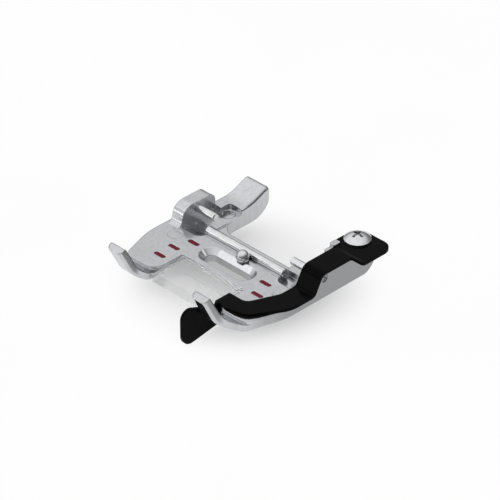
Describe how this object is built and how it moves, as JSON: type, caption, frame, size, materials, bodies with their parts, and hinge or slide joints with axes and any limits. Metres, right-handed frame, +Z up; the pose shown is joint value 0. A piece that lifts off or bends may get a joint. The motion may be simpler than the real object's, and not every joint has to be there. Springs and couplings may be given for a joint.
{
  "type": "sewing machine presser foot",
  "caption": "Clip-on seam presser foot: plated casting with curled toes, cross pins, clear window and a black right-hand guide with a hanging fin.",
  "frame": {"origin": "middle of the front cross pin, on its axis", "axes": "+X along the cross pin to the sewer's right, +Y to the rear, away from the sewer, +Z up from the sole"},
  "size_m": [0.0351, 0.0355, 0.0107],
  "materials": {
    "plated_casting": "satin nickel plate on a zinc casting",
    "clear_plastic": "clear moulded plastic, slightly frosted",
    "polished_steel": "polished",
    "black_sheet": "satin black",
    "plated_screw": "polished",
    "red_paint": "dark red fill"
  },
  "bodies": {
    "root": {"foot_body": "plated_casting", "clear_window": "clear_plastic", "front_pin": "polished_steel", "left_stub_pin": "polished_steel", "right_stub_pin": "polished_steel", "locating_ball": "polished_steel", "seam_guide": "black_sheet", "guide_screw": "plated_screw", "mark_paint": "red_paint"}
  },
  "joints": []
}
